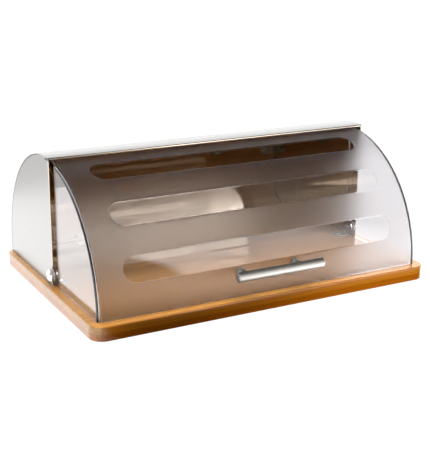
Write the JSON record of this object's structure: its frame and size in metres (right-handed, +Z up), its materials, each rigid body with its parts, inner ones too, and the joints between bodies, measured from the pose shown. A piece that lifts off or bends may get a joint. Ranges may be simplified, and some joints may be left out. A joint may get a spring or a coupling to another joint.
{
  "type": "bread bin",
  "caption": "Countertop bread bin: flat bamboo board, quarter-round steel shell and a clear moulded lid with frosted front and bar handle that swings up inside the shell.",
  "frame": {"origin": "middle of the whole bin's footprint, handle included, on the plane that the pads stand on", "axes": "+X to the bin's right seen from the front, +Y to the back, +Z up"},
  "size_m": [0.39, 0.279, 0.152],
  "materials": {
    "bamboo": "lacquered bamboo, gloss",
    "rubber_pad": "matt",
    "shell_steel": "brushed stainless sheet",
    "plated_screw": "bright zinc plate",
    "pivot_metal": "polished",
    "handle_metal": "satin nickel",
    "nylon": "natural nylon",
    "clear_moulding": "clear moulding, curved front frosted outside with three clear windows"
  },
  "bodies": {
    "base": {"base_board": "bamboo", "front_left_pad": "rubber_pad", "front_right_pad": "rubber_pad", "rear_left_pad": "rubber_pad", "rear_right_pad": "rubber_pad", "back_sheet": "shell_steel", "left_side_panel": "shell_steel", "right_side_panel": "shell_steel", "shell_screws": "plated_screw", "left_pivot_barrel": "pivot_metal", "left_pivot_spacer": "nylon", "left_pivot_washer": "plated_screw", "left_pivot_screw": "plated_screw", "right_pivot_barrel": "pivot_metal", "right_pivot_spacer": "nylon", "right_pivot_washer": "plated_screw", "right_pivot_screw": "plated_screw"},
    "lid": {"lid_moulding": "clear_moulding", "handle_bar": "handle_metal", "handle_left_foot": "handle_metal", "handle_right_foot": "handle_metal", "handle_washers": "plated_screw", "handle_screws": "plated_screw"}
  },
  "joints": [
    {"name": "lid_hinge", "type": "hinge", "parent": "base", "child": "lid", "pos_m": [0, 0.00571, 0.0275], "axis": [-1, 0, 0], "range_deg": [0, 76]}
  ]
}
